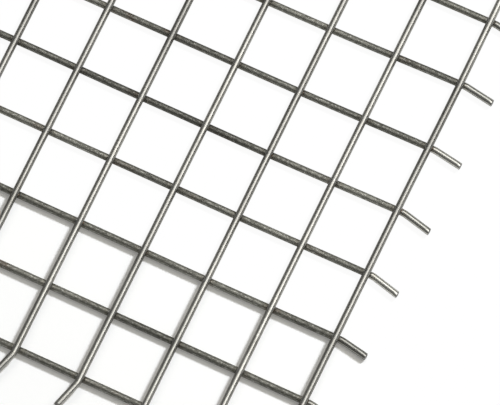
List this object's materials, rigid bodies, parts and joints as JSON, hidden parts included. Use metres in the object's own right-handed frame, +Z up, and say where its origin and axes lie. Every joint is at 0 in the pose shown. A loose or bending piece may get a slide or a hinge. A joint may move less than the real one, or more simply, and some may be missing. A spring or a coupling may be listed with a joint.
{
  "type": "welded wire mesh panel",
  "caption": "Flat sheet of round steel wires in a square grid, welded at each crossing, with free sheared wire ends at the edges.",
  "frame": {"origin": "middle of the sheet, on the plane that the undersides of the lower wires lie on", "axes": "+X along the lower, cross wires, towards the edge with the bent wire ends; +Y along the upper, line wires, which is the sheet's length; +Z up out of the sheet, from the cross wires to the line wires"},
  "size_m": [0.6, 1.2, 0.0094],
  "materials": {
    "drawn_steel": "bare drawn steel wire: bright with lengthwise drawing marks on the upper wires, darker with mottled scale on the lower wires"
  },
  "bodies": {
    "root": {"mesh_panel": "drawn_steel"}
  },
  "joints": []
}
